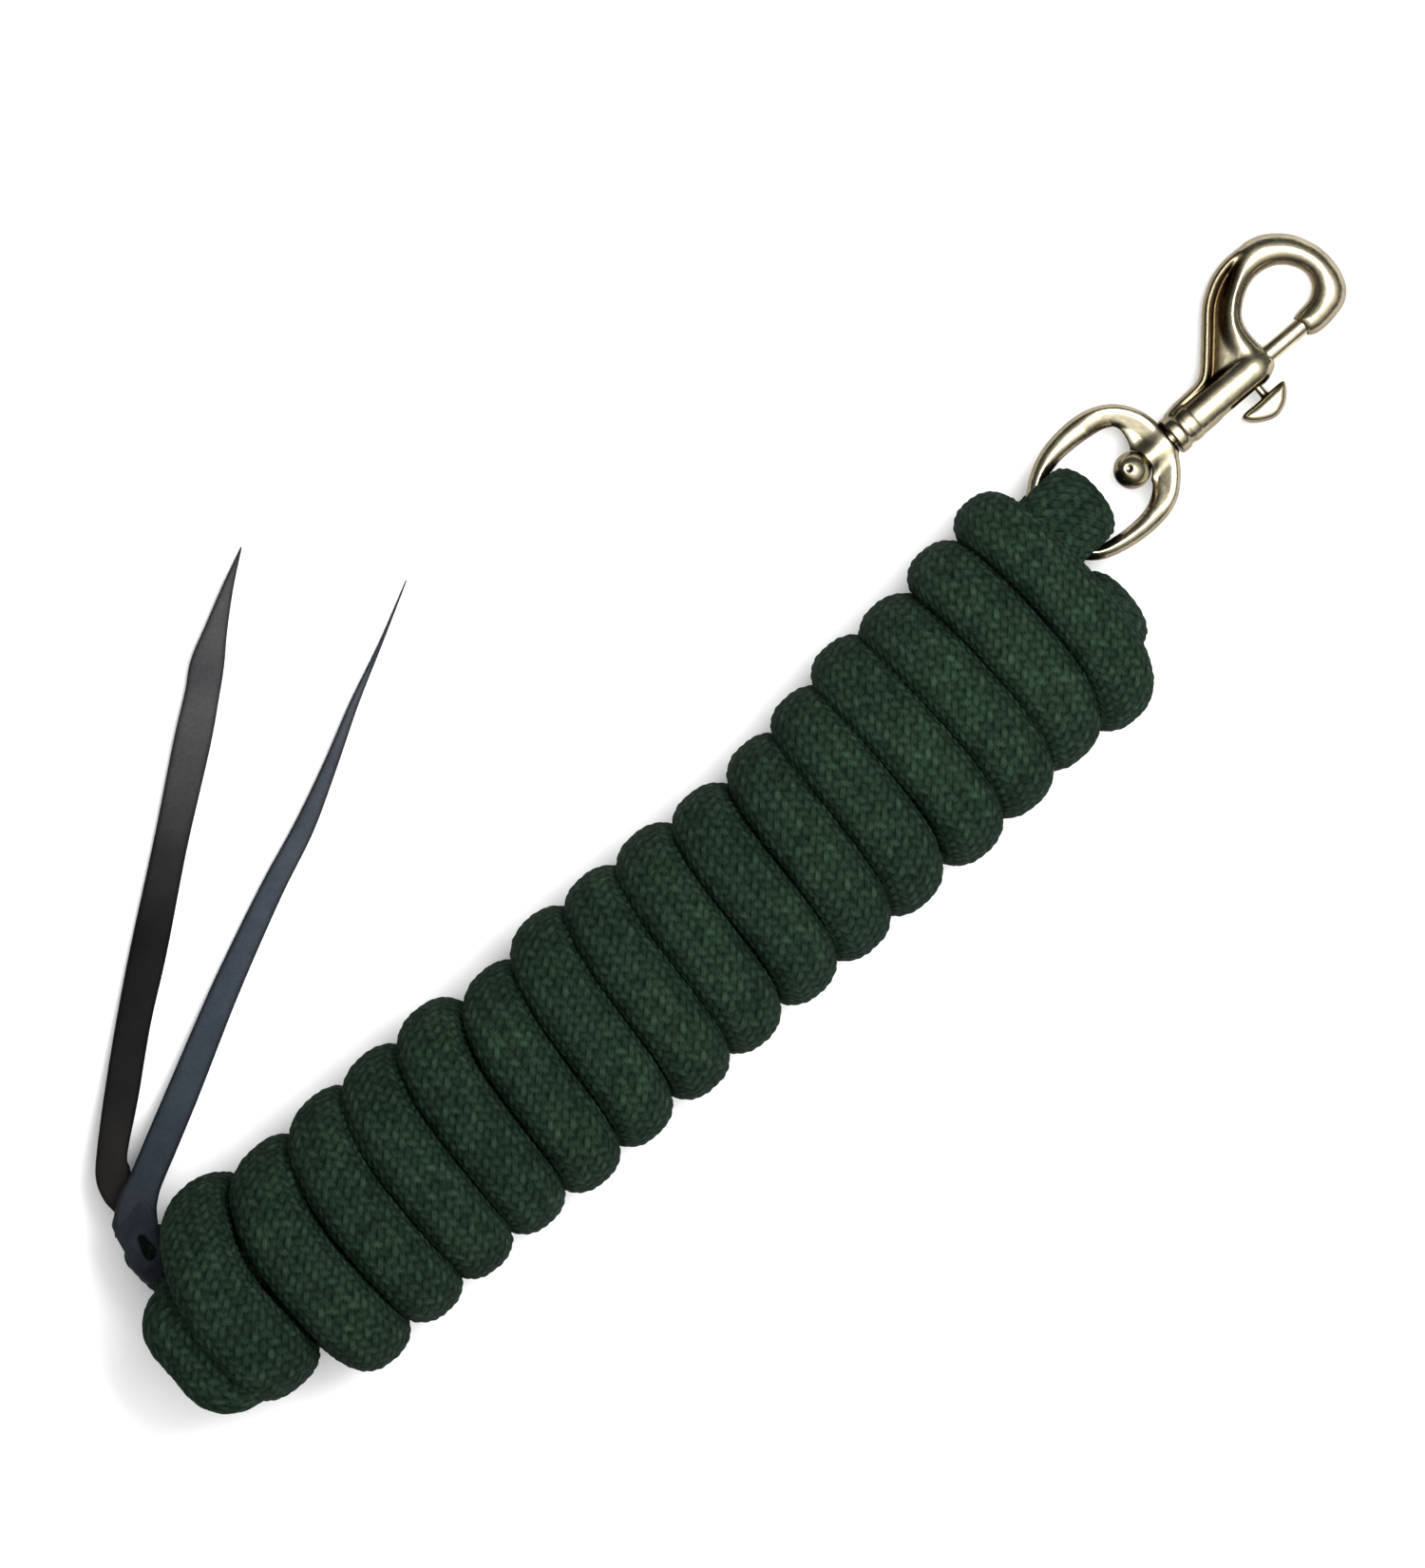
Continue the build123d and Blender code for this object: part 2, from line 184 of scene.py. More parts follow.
def cast(name, shape, low, high, step, frame_rows, origin):
    """A smooth mesh of quads where a distance function is zero (surface nets)."""
    axes = [np.arange(a, b + step, step) for a, b in zip(low, high)]
    field = np.asarray(shape(*np.meshgrid(*axes, indexing="ij", sparse=True)))
    inside = field < 0
    units = np.eye(3, dtype=int)
    total, count, quads = np.zeros((field.size, 3)), np.zeros(field.size), []
    for k in range(3):
        i, j = units[(k + 1) % 3], units[(k + 2) % 3]
        at = np.argwhere(inside != np.roll(inside, -1, k))
        here, there = field[tuple(at.T)], field[tuple((at + units[k]).T)]
        place = at + units[k] * (here / (here - there))[:, None]
        ring = [np.ravel_multi_index((at + di * i + dj * j).T, field.shape)
                for di, dj in ((0, 0), (-1, 0), (-1, -1), (0, -1))]
        for cell in ring:
            count += np.bincount(cell, minlength=field.size)
            for c in range(3):
                total[:, c] += np.bincount(cell, weights=place[:, c], minlength=field.size)
        ring = np.stack(ring, axis=1)
        quads.append(np.where(inside[tuple(at.T)][:, None], ring, ring[:, ::-1]))
    used = count > 0
    points = np.array(low) + step * total[used] / count[used][:, None]
    for _ in range(2):
        # each point moves along the slope onto the true surface
        value = shape(*points.T)
        rise = np.stack([shape(*(points + SLOPE_STEP * way).T) - value for way in units], axis=1)
        slope = rise / SLOPE_STEP
        move = slope * (value / np.maximum((slope ** 2).sum(1), LEAST_SLOPE))[:, None]
        points = points - np.clip(move, -MOST_MOVE * step, MOST_MOVE * step)
    value = shape(*points.T)
    facing = unit(np.stack([shape(*(points + FACING_STEP * way).T) - value for way in units], axis=1))
    # how open and how upward each point faces; the brass and the knot's leather paint shade from these
    opened = np.clip(shape(*(points + REACH * facing).T) / REACH, 0, 1)
    number = np.cumsum(used) - 1
    mesh = mesh_of(name, (points @ frame_rows + origin) * MM, number[np.vstack(quads)])
    keep(mesh, cast_open=opened, cast_upward=np.abs(facing[:, 2]))
    return add_object(name, mesh)


# ================================================================== rope route
# Each point of the route is its place about the hank's middle, the way that the
# rope's outer side faces there, and the rope's width and thickness.
route = []


def lay(x, y, z, outer=(0, 0, 1), width=ROPE_D, thick=ROPE_D):
    """Adds one point to the rope's route."""
    route.append(((x, y, z), outer, width, thick))


WRAP_Z = 28.0            # the wraps' middle height
WRAP_RISE = 18.9         # from the middle height up or down to a wrap's centre line
EYE = {"width": 24.4, "thick": 15.0}
EYE_Y = 23.1
CORE = {"width": 16.0, "thick": 18.5}

# the spliced end, round the swivel ring's lower bar and into the core
lay(122, 17.5, 22, (0, 0, -1), 16, 15)
lay(129, 20.5, 15, (0, 0, -1), 17, 15)
lay(136, EYE_Y, 7.6, (0, 0, -1), **EYE)
lay(151.4, EYE_Y, 7.5, (0.7, 0, -0.7), **EYE)
lay(151.4, EYE_Y, 29.5, (0.8, 0, 0.6), **EYE)
lay(144, EYE_Y, 36, (0.2, 0, 1), **EYE)
lay(134, 21.5, 38.5, (0, 0, 1), 23, 16)
lay(122, 17.5, 32, (0, 0, 1), 19, 17)
lay(105, 12, 28.5, **CORE)
# the first core strand, the bight at the hank's far end, and the second strand
for x, y in [(85, 9.6), (45, 9.2), (0, 9.4), (-45, 9.2), (-90, 9.4), (-125, 9.8), (-146, 11.5)]:
    lay(x, y, WRAP_Z, **CORE)
for x, y, z in [(-163, 15, 31), (-174, 16, 35), (-182, 14.5, 36.5), (-181.2, 4.5, 37), (-182, -6.5, 36),
                (-174.5, -9, 33.5), (-161, -4, 30)]:
    lay(x, y, z, width=19, thick=19)
for x, y in [(-146, -4.6), (-125, -5.6), (-90, -5.8), (-45, -6.0), (0, -5.8), (45, -6.0), (85, -5.8)]:
    lay(x, y, WRAP_Z, **CORE)
# the second strand comes out beside the eye and turns under, into the first wrap
lay(108, -5.5, 28.5, **CORE)
lay(125, -4.6, 37.5, width=21, thick=17)
lay(136.5, -3.6, 40.5, (0.5, 0, 0.85), 26.5, 16)
lay(139.4, -4.2, 29.5, (1, 0, 0), 26.5, 16)
lay(135, -6, 13, (0.6, 0, -0.8), 17, 16)
lay(129.8, 0, 9.2, (0, 0, -1), 18)
lay(129, 12, 9.2, (0, 0, -1), 18)
lay(128.8, 25, 11.5, (0, 0.3, -0.9), 18)
lay(128.9, 33.5, 18.5, (0, 0.8, -0.6), 18)

# Each wrap: where it passes the left and the right side, how far it reaches out
# there, and how far its crossing over the top bows towards the snap.
WRAPS = [
    (129.0, 44.4, 125.2, -31.4, 5.8), (110.5, 42.1, 107.4, -29.8, 4.5),
    (91.0, 39.4, 89.4, -31.5, 3.7), (73.8, 39.3, 70.7, -32.6, 2.3),
    (56.7, 35.9, 48.9, -32.2, 2.3), (39.5, 33.7, 30.2, -32.4, 0.75),
    (19.2, 33.0, 11.4, -32.1, 0.3), (0.8, 34.5, -8.8, -32.4, -0.3),
    (-17.4, 34.9, -27.6, -32.9, -1.0), (-35.4, 35.8, -47.8, -32.6, -1.3),
    (-54.6, 33.0, -66.6, -32.9, -2.4), (-75.1, 36.8, -85.3, -31.8, -3.0),
    (-94.6, 36.8, -104.0, -31.8, -3.7), (-112.6, 37.2, -121.9, -32.0, -5.4),
    (-132.9, 36.9, -141.4, -32.5, -6.6),
]
LAST_LEFT = (-153.5, 41.0)
WRAP_POINTS = 16
SQUARE = 0.85            # 1 is an elliptical wrap, less is squarer
SEAM_SWING = 0.9         # how much more a wrap advances at its sides than across
OUTWARD = 0.5            # how far the outer side of a wrap stands past its reach
FIRST_WIDTH, WRAP_WIDTH, LAST_WIDTH = 18.8, 20.2, 21.4
WRAP_THICK = 18.8


def signed_power(value, power):
    """A power of the value's size, with the value's own sign."""
    return abs(value) ** power * (1 if value > 0 else -1)


next_lefts = [wrap[:2] for wrap in WRAPS[1:]] + [LAST_LEFT]
widths = [FIRST_WIDTH] + [WRAP_WIDTH] * (len(WRAPS) - 2) + [LAST_WIDTH]
for (left_x, left_y, right_x, right_y, bow), (next_x, next_y), width in zip(WRAPS, next_lefts, widths):
    for step in range(WRAP_POINTS):
        turn = 2 * pi * step / WRAP_POINTS
        over_top = step < WRAP_POINTS / 2
        share = turn / pi if over_top else turn / pi - 1
        if over_top:
            x = left_x + (right_x - left_x) * share + bow * sin(turn)
            reach = left_y
        else:
            x = right_x + (next_x - right_x) * share
            reach = next_y
        x -= SEAM_SWING * sin(2 * turn)
        middle = (reach + right_y) / 2
        half = (reach - right_y) / 2 - ROPE_D / 2 + OUTWARD
        y = middle + half * signed_power(cos(turn), SQUARE)
        z = WRAP_Z + WRAP_RISE * signed_power(sin(turn), SQUARE)
        lay(x, y, z, (0, cos(turn), sin(turn)), width, WRAP_THICK)

# the loose last wrap, tucked down through the bight, and the tail under it
LOOSE = {"width": 23.8, "thick": 15.5}
lay(-155.2, 34, 28, (0, 1, 0.1), 20, 16)
lay(-160.2, 29.6, 40, (0, 0.7, 0.7), 20.8, 15.5)
lay(-165.3, 18.8, 47.5, (0, 0.2, 1), 21.8, 15.5)
lay(-167, 8, 48.6, (0, 0, 1), 23, 15.5)
lay(-167, -2, 47.6, (0, -0.2, 1), **LOOSE)
lay(-166.5, -10, 42, (0, -0.7, 0.7), **LOOSE)
lay(-166, -13.6, 32, (0, -1, 0), **LOOSE)
lay(-166, -13, 21, (0, -1, -0.2), 22, 16)
lay(-167, -7, 11.5, (0, -0.6, -0.8), 19, 17)
lay(-168.5, 2, 9, (0, 0, -1), 19, 18)
lay(-170, 12, 8.8, (0, 0, -1), 19, 17.6)
lay(-172, 22, 9.6, (0, 0, -1), 17, 17.6)
lay(-174, 32, 12, (0, 0, -1), 15.5, 16)
lay(-174.2, 40, 12.5, (0, 0, -1), 14, 15)

# ------------------------------------------------------------------ rope line
curve = bpy.data.curves.new("rope_line", "CURVE")
curve.dimensions = "3D"
LINE_STEPS = 16          # evaluated points between two of the route's points
curve.resolution_u = LINE_STEPS
spline = curve.splines.new("NURBS")
spline.points.add(len(route) - 1)
for point, ((x, y, z), _, _, _) in zip(spline.points, route):
    point.co = ((HANK_X + x) * MM, (HANK_Y + y) * MM, z * MM, 1)
spline.order_u = 3
spline.use_endpoint_u = True
line_mesh = bpy.data.meshes.new_from_object(bpy.data.objects.new("rope_line", curve))
line = np.array([v.co for v in line_mesh.vertices])
bpy.data.meshes.remove(line_mesh)

# what the route says of each point, read along the line, whose spans join halfway
# between the route's points
outer_way = unit(np.array([facing for _, facing, _, _ in route], float))
sizes = np.array([(width, thick) for _, _, width, thick in route], float)
at_route = np.linspace(0.5, len(route) - 1.5, len(line))
facts = np.stack([np.interp(at_route, np.arange(len(route)), column)
                  for column in np.hstack([outer_way, sizes]).T], axis=1)

# ------------------------------------------------------------------ braid
# 48 strands, 24 each way round at 45 degrees, two over and two under.
STRANDS = 24
REPEAT = 4               # strands crossed before a strand's floats repeat
PER_STRAND = 4           # mesh steps to one strand's width, both ways
BRAID_DEPTH = 0.5
UNEVEN = 0.22            # how far one float lies below the next, in mm
OFFSET = 0.25            # keeps the mesh's points clear of the strands' edges
CELL = pi * ROPE_D / STRANDS
END = 5.0                # the melted ends round off over this length
PRESSED = 2.35           # 2 is a round section, more is squarer: its neighbours press it
along = np.concatenate([[0], np.cumsum(np.linalg.norm(np.diff(line, axis=0), axis=1))]) / MM
rope_mm = along[-1]
rings = int(rope_mm / CELL * PER_STRAND)
at = np.linspace(0, rope_mm, rings)
centre = np.stack([np.interp(at, along, line[:, k]) for k in range(3)], axis=1) / MM
fact = smooth_along(np.stack([np.interp(at, along, column) for column in facts.T], axis=1), reach=6)
centre = smooth_along(centre, reach=2)
tangent = unit(np.gradient(centre, axis=0))
outer = fact[:, :3]
outer = unit(outer - (outer * tangent).sum(1, keepdims=True) * tangent)
side = np.cross(tangent, outer)

segments = STRANDS * PER_STRAND
angle = 2 * pi * np.arange(segments) / segments
cos_a, sin_a = np.cos(angle), np.sin(angle)
round_to = (np.abs(cos_a) ** PRESSED + np.abs(sin_a) ** PRESSED) ** (-1 / PRESSED)
section_out, section_side = cos_a * round_to, sin_a * round_to


def scatter(i, j):
    """A fixed number from 0 to 1 for each pair of whole numbers, with no pattern to see."""
    value = np.sin(i * 12.9898 + j * 78.233) * 43758.5453
    return value - np.floor(value)


FLOAT_RISE, CROWN_RISE = 0.55, 0.45      # what a strand's float and its crown add to its height
CROWN_POWER = 2.2
SUNKEN = 0.35            # heights below this are hidden between the strands


def woven(p, q):
    """The braid's height from 0 to 1, its upper strand's way, and a number for each float."""
    heights, floats = [], []
    for across, along_strand, shift in ((p, q, 0), (q, p, 2)):
        strand = np.floor(across)
        crown = 1 - np.abs(2 * (across - strand) - 1) ** CROWN_POWER
        crossed = along_strand + strand - shift
        float_at = crossed % REPEAT
        heights.append(FLOAT_RISE * np.sin(pi / 2 * float_at) + CROWN_RISE * crown - SUNKEN)
        floats.append(scatter(strand % STRANDS + 31 * shift, np.floor(crossed / REPEAT)))
    first = heights[0] > heights[1]
    tallest = FLOAT_RISE + CROWN_RISE - SUNKEN
    return np.clip(np.maximum(*heights) / tallest, 0, 1), first, np.where(first, *floats)


around = np.arange(segments)[None, :] / PER_STRAND
lengthways = np.arange(rings)[:, None] / PER_STRAND
strand_p, strand_q = around + lengthways + OFFSET, around - lengthways + OFFSET
height, first_way, each = woven(strand_p, strand_q)
half_wide, half_thick = fact[:, 3:4] / 2, fact[:, 4:5] / 2
to_end = np.clip(np.minimum(at, rope_mm - at) / END, 0, 1)
closing = np.sqrt(1 - (1 - to_end) ** 2)[:, None]
sunk = BRAID_DEPTH * (1 - height) + UNEVEN * each * height
shrink = closing * (1 - sunk / (ROPE_D / 2))
rope_points = (centre[:, None, :]
               + outer[:, None, :] * (section_out * half_thick * shrink)[:, :, None]
               + side[:, None, :] * (section_side * half_wide * shrink)[:, :, None]) * MM
ring_of, segment_of = np.meshgrid(np.arange(rings - 1), np.arange(segments), indexing="ij")
next_segment = (segment_of + 1) % segments
corners = [ring_of * segments + segment_of, ring_of * segments + next_segment,
           (ring_of + 1) * segments + next_segment, (ring_of + 1) * segments + segment_of]
rope_mesh = mesh_of("rope", rope_points.reshape(-1, 3), np.stack(corners, axis=-1).reshape(-1, 4))
keep(rope_mesh, braid_height=height, braid_way=first_way, braid_float=each,
     strand_p=strand_p, strand_q=strand_q)
rope = add_object("lead_rope", rope_mesh)


# ================================================================== materials
def material(name):
    """A new node material: its node tree and its Principled shader."""
    made = bpy.data.materials.new(name)
    made.use_nodes = True
    return made, made.node_tree, made.node_tree.nodes["Principled BSDF"]


def ramp(tree, source, stops):
    """A colour ramp on a value: stops are (place, colour)."""
    made = tree.nodes.new("ShaderNodeValToRGB")
    elements = made.color_ramp.elements
    while len(elements) < len(stops):
        elements.new(0.5)
    for element, (place, colour) in zip(elements, stops):
        element.position = place
        element.color = (*colour, 1)
    tree.links.new(source, made.inputs["Fac"])
    return made.outputs["Color"]


def multiply(tree, first, second):
    """One colour multiplied by another."""
    made = tree.nodes.new("ShaderNodeMix")
    made.data_type = "RGBA"
    made.blend_type = "MULTIPLY"
    made.inputs["Factor"].default_value = 1.0
    tree.links.new(first, made.inputs["A"])
    tree.links.new(second, made.inputs["B"])
    return made.outputs["Result"]


def maths(tree, operation, *inputs):
    """A Math node whose inputs are numbers or sockets."""
    made = tree.nodes.new("ShaderNodeMath")
    made.operation = operation
    for socket, value in zip(made.inputs, inputs):
        if isinstance(value, (int, float)):
            socket.default_value = value
        else:
            tree.links.new(value, socket)
    return made.outputs["Value"]


def attribute_of(tree, name):
    """The numbers that keep() left on a mesh's points."""
    made = tree.nodes.new("ShaderNodeAttribute")
    made.attribute_name = name
    return made.outputs["Fac"]


def noise(tree, scale, detail=3.0, roughness=0.5):
    """Noise over the object's own coordinates, in metres."""
    coordinates = tree.nodes.new("ShaderNodeTexCoord")
    made = tree.nodes.new("ShaderNodeTexNoise")
    made.inputs["Scale"].default_value = scale
    made.inputs["Detail"].default_value = detail
    made.inputs["Roughness"].default_value = roughness
    tree.links.new(coordinates.outputs["Object"], made.inputs["Vector"])
    return made.outputs["Fac"]


def bump(tree, shader, heights):
    """Chained bumps on a shader: each is (height socket, strength, distance in metres)."""
    last = None
    for source, strength, distance in heights:
        made = tree.nodes.new("ShaderNodeBump")
        made.inputs["Strength"].default_value = strength
        made.inputs["Distance"].default_value = distance
        tree.links.new(source, made.inputs["Height"])
        if last:
            tree.links.new(last, made.inputs["Normal"])
        last = made.outputs["Normal"]
    tree.links.new(last, shader.inputs["Normal"])


YARNS = 3                # yarns side by side in one strand


def rope_material():
    """Matt braided fibre with painted shade between the strands, fine yarns along each strand."""
    made, tree, shader = material("rope_fibre")
    yarns = [maths(tree, "SINE", maths(tree, "MULTIPLY", attribute_of(tree, name), 2 * pi * YARNS))
             for name in ("strand_q", "strand_p")]
    chosen = tree.nodes.new("ShaderNodeMix")
    tree.links.new(attribute_of(tree, "braid_way"), chosen.inputs["Factor"])
    tree.links.new(yarns[0], chosen.inputs["A"])
    tree.links.new(yarns[1], chosen.inputs["B"])
    yarn = chosen.outputs["Result"]
    # painted shade: the colour is darkest where the braid sinks between the strands and lightest on the
    # crowns
    colour = ramp(tree, attribute_of(tree, "braid_height"),
                  [(0.0, (0.0020, 0.0055, 0.0030)), (0.35, (0.0095, 0.0208, 0.0124)),
                   (1.0, (0.0172, 0.0345, 0.0214))])
    for source, stops in (
            (attribute_of(tree, "braid_float"), [(0.0, (1.22, 1.2, 1.22)), (1.0, (0.72, 0.74, 0.72))]),
            (noise(tree, 45, 4, 0.6), [(0.32, (0.8, 0.82, 0.84)), (0.68, (1.14, 1.1, 1.08))]),
            (noise(tree, 330, 4, 0.75), [(0.34, (0.5, 0.56, 0.53)), (0.66, (1.42, 1.34, 1.38))]),
            # painted shade: darker in the grooves between the yarns, where the yarn wave is low
            (maths(tree, "MULTIPLY_ADD", yarn, 0.5, 0.5), [(0.0, (0.84,) * 3), (1.0, (1.06,) * 3)])):
        colour = multiply(tree, colour, ramp(tree, source, stops))
    tree.links.new(colour, shader.inputs["Base Color"])
    rough = ramp(tree, noise(tree, 500), [(0.2, (0.75,) * 3), (0.8, (0.95,) * 3)])
    tree.links.new(rough, shader.inputs["Roughness"])
    shader.inputs["Specular IOR Level"].default_value = 0.03
    bump(tree, shader, [(yarn, 0.4, 0.00012), (noise(tree, 1500, 3), 0.35, 0.0002)])
    return made


def brass_material(name, tone, painted_recess_shade, painted_side_shade):
    """Pale polished brass, with painted shade: darker and browner in its recesses and down its sides."""
    made, tree, shader = material(name)
    shader.inputs["Metallic"].default_value = 1.0
    stained = tuple(0.7 * channel for channel in tone)
    patch = ramp(tree, noise(tree, 160, 5, 0.6), [(0.25, stained), (0.6, tone)])
    # painted shade: dark brown where little open space lies in front of the surface, in the castings'
    # recesses
    recess_shade = ramp(tree, attribute_of(tree, "cast_open"), [(0.45, painted_recess_shade), (0.95, (1, 1, 1))])
    # painted shade: darker where the surface turns away from straight up, down the castings' sides
    lit = ramp(tree, attribute_of(tree, "cast_upward"), [(0.45, painted_side_shade), (0.88, (1, 1, 1))])
    tree.links.new(multiply(tree, multiply(tree, patch, recess_shade), lit), shader.inputs["Base Color"])
    rough = ramp(tree, noise(tree, 420, 4, 0.65), [(0.25, (0.17,) * 3), (0.8, (0.33,) * 3)])
    tree.links.new(rough, shader.inputs["Roughness"])
    bump(tree, shader, [(noise(tree, 240, 3), 0.22, 0.0006), (noise(tree, 3500, 2), 0.05, 0.00005)])
    return made


def leather_material(name, tones):
    """Harness leather: grain and creases, darker cut edges, painted shade in the knot's crevices, and a
    tone that changes along each strap.
    """
    made, tree, shader = material(name)
    colour = ramp(tree, attribute_of(tree, "strap_along"), tones)
    grain = noise(tree, 900, 5, 0.7)
    for source, stops in (
            # darker dye on the straps' cut edges; on the knot, painted shade in its crevices
            (attribute_of(tree, "strap_edge"), [(0.0, (0.22,) * 3), (0.55, (0.8,) * 3), (1.0, (1.0,) * 3)]),
            (noise(tree, 70, 4, 0.6), [(0.3, (0.78, 0.79, 0.82)), (0.7, (1.16, 1.14, 1.12))]),
            (grain, [(0.3, (0.82,) * 3), (0.7, (1.12,) * 3)])):
        colour = multiply(tree, colour, ramp(tree, source, stops))
    tree.links.new(colour, shader.inputs["Base Color"])
    rough = ramp(tree, grain, [(0.3, (0.62,) * 3), (0.8, (0.8,) * 3)])
    tree.links.new(rough, shader.inputs["Roughness"])
    shader.inputs["Specular IOR Level"].default_value = 0.05
    bump(tree, shader, [(noise(tree, 120, 3), 0.25, 0.0006), (grain, 0.4, 0.0002)])
    return made


rope_mesh.materials.append(rope_material())
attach(rope, "rope")
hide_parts("rope_hank", "rope_eye")

# ================================================================== hardware
# The snap's own directions: along its axis, to its left and to its top, measured
# from the middle of the swivel ring's lower bar.
SNAP_TILT = radians(7.4)
BAR = np.array([HANK_X + 140.4, HANK_Y + 21.0, 18.2])
SNAP_ROWS = np.array([
    (cos(SNAP_TILT), 0, -sin(SNAP_TILT)), (0, 1, 0), (sin(SNAP_TILT), 0, cos(SNAP_TILT))])
CAST_STEP = 0.36         # the castings' grid

# the ring: half thickness and rounding of its bar, the dish in its cheek, its boss
RING_HALF, RING_EDGE = 3.0, 3.3
DISH_SLOPE, DISH_RIM, DISH_WIDE = 0.42, 1.4, 5
DISH_START, DISH_RUN = 26, 7
BOSS_R, BOSS_X, BOSS_HALF = 3.3, 37.4, 4.6
# the pin: its ball head, the mark on the head, the shank and the hole it turns in
BALL_AT, BALL_R, BALL_GAP = (29.2, 0.2), 5.2, 0.35
DIMPLE_AT, DIMPLE_R = (27.9, 1.3, 5.6), 1.3
SHANK_R, SHANK_X, SHANK_HALF = 2.7, 39, 10
PIN_HOLE_R, PIN_HOLE_START = 2.77, 20
# the snap's body: barrel, neck and flange as radius, middle and half length
BARREL_R, BARREL_X, BARREL_HALF, BARREL_Y = 5.3, 63.4, 15, -0.15
NECK_R, NECK_X, NECK_HALF = 5.2, 47, 3.4
FLANGE_R, FLANGE_X, FLANGE_HALF = 5.7, 44.9, 1.7
# the cone that the barrel's front end narrows along, as a slope from a place on the axis
TAPER_X, TAPER_ALONG, TAPER_OUT = 74.8, 0.447, 0.894
# the rib's lip, the web that thickens away from it, and the hook
LIP_R, LIP_FLAT = 1.6, 0.55
WEB_HALF, WEB_SLOPE, WEB_START, WEB_RUN = 0.8, 0.35, 2.0, 6.5
HOOK_HALF, HOOK_EDGE = 4.2, 4.8
# the bolt's bore, and the slot in the barrel's right side for the knob's stem
BORE_R, BORE_START, BORE_END = 2.72, 52.0, 92.4
SLOT_HALF, SLOT_BACK, SLOT_FRONT = 1.7, 58.4, 70.8
# the thumb knob: its tab and its stem
TAB_HALF, TAB_EDGE = 3.9, 2.3
STEM_R, STEM_Y, STEM_HALF = 1.15, -6, 5

RING_OUTER = through([
    (-2.8, 2.4), (-2.1, 7), (0.4, 11.6), (4, 15.4), (8.5, 18.4), (13, 20.3), (18, 21.4), (24, 21.8),
    (29, 21.3), (33.6, 19.8), (37.4, 17.3), (40.3, 14), (42.2, 10.2), (43, 6.6), (43.1, 3.2),
    (42.9, -1.5), (42, -4.6), (40, -8), (37.2, -11.2), (33.6, -14), (29, -15.7), (23, -16.3),
    (17, -15.9), (11, -14.7), (6, -12.6), (1.6, -8.6), (-1.7, -3.4)
], closed=True, steps=3)
RING_INNER = through([
    (2.8, 2.4), (3.5, 7), (6, 11), (10, 13.6), (15, 14.8), (20, 15), (26, 14.6), (30, 13.6),
    (32.6, 11.3), (32.6, 8.4), (31.8, 5.4), (31.4, 1), (31.3, -3), (30.4, -6.2), (28.2, -8.6),
    (25, -10.2), (20, -10.8), (14, -10.5), (8.6, -9.3), (4.7, -5)
], closed=True, steps=3)


def ring_shape(x, y, z):
    """The bell-shaped swivel ring: round legs, and a broad dished cheek with a boss."""
    outside = to_outline(x, y, RING_OUTER)
    dish = DISH_SLOPE * np.clip(-outside - DISH_RIM, 0, DISH_WIDE)
    dish = dish * np.clip((x - DISH_START) / DISH_RUN, 0, 1)
    shape = slab(np.maximum(outside, -to_outline(x, y, RING_INNER)), z, RING_HALF - dish, RING_EDGE)
    around = np.hypot(y, z)
    boss = meet(around - BOSS_R, np.abs(x - BOSS_X) - BOSS_HALF, soft=1.2)
    shape = join(shape, boss, soft=3.0)
    hole = meet(around - PIN_HOLE_R, PIN_HOLE_START - x, soft=0.2)
    seat = np.sqrt((x - BALL_AT[0]) ** 2 + around ** 2) - BALL_R - BALL_GAP
    return cut(cut(shape, hole, soft=0.4), seat, soft=0.5)


def pin_shape(x, y, z):
    """The swivel pin: a ball head with a centre mark, and a shank into the snap's body."""
    around = np.hypot(y, z)
    ball = np.sqrt((x - BALL_AT[0]) ** 2 + (y - BALL_AT[1]) ** 2 + z ** 2) - BALL_R
    dimple_x, dimple_y, dimple_z = DIMPLE_AT
    dimple = np.sqrt((x - dimple_x) ** 2 + (y - dimple_y) ** 2 + (z - dimple_z) ** 2) - DIMPLE_R
    shank = meet(around - SHANK_R, np.abs(x - SHANK_X) - SHANK_HALF, soft=0.3)
    return join(cut(ball, dimple, soft=0.5), shank, soft=0.6)


HOOK = through([
    (69.4, -3), (70, 2), (71, 9), (74.4, 15.4), (79.2, 20.2), (84.4, 23.6), (88.6, 26.4),
    (92.6, 27.7), (96.8, 27.2), (100.1, 25.8), (103.4, 23.4), (106.1, 20.5), (107.9, 17.2),
    (109.3, 13.6), (109.9, 9.8), (109.8, 6.0), (109.1, 2.7), (107.4, -0.6), (104.4, -3),
    (100.4, -4.1), (95.8, -4.6), (92.4, -4.1), (90.5, -2.6), (89.8, 0), (90.3, 2.6), (92.8, 3.7),
    (97, 4.2), (100, 5.9), (101.4, 8.4), (101.4, 11.2), (99.8, 14.4), (97.2, 16.8), (94.2, 18.1),
    (90.4, 18.4), (86.6, 17.4), (82.8, 15.0), (79.8, 11.6), (78.9, 6.6), (79.2, 1), (78.6, -3)
], closed=True, steps=3)
LIP = through([
    (46.6, 4.6), (50, 5.1), (55, 5.3), (59.3, 5.8), (62.3, 7.6), (66.3, 11.8), (70.4, 16.3),
    (74.5, 20.7), (78.6, 23.6), (82.6, 25.3), (86.6, 26.1), (90.6, 26.1)
], steps=3)
WEB = through([
    (60, 2), (61.6, 6), (65.5, 10.4), (70, 15.6), (75, 20.6), (80, 23.4), (86, 25), (86, 22),
    (80, 18), (76, 12), (74, 2)
], closed=True, steps=3)


